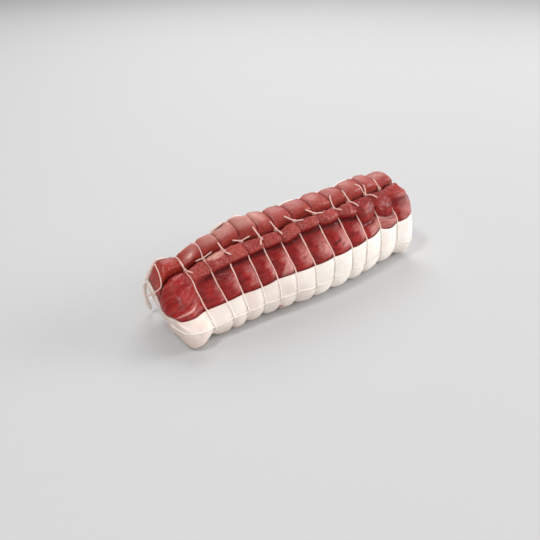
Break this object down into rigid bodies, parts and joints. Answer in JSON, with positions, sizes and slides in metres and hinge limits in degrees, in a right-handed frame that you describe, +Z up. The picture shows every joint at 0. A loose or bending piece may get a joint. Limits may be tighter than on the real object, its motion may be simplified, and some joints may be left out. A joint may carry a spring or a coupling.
{
  "type": "barded and tied beef roast",
  "caption": "Raw beef tenderloin roast of two muscles side by side, wrapped in a sheet of white fat along its sides and base, and tied into pillows with loops of butcher's twine.",
  "frame": {"origin": "middle of the bounding box at the underside, on the surface the roast lies on", "axes": "+X along the roast towards its thick end, +Y across it towards the back muscle, +Z up"},
  "size_m": [0.3065, 0.0956, 0.0917],
  "materials": {
    "meat_front_red": "moist, glossy, dark red with pale fibres",
    "meat_back_rose": "moist, brownish pink, fine grained",
    "bard_fat": "smooth satin, warm white fat",
    "twine": "matt twisted cotton"
  },
  "bodies": {
    "root": {"meat_front": "meat_front_red", "meat_back": "meat_back_rose", "bard": "bard_fat", "string_01": "twine", "string_02": "twine", "string_03": "twine", "string_04": "twine", "string_05": "twine", "string_06": "twine", "string_07": "twine", "string_08": "twine", "string_09": "twine", "string_10": "twine", "string_11": "twine", "string_12": "twine", "string_long": "twine"}
  },
  "joints": []
}
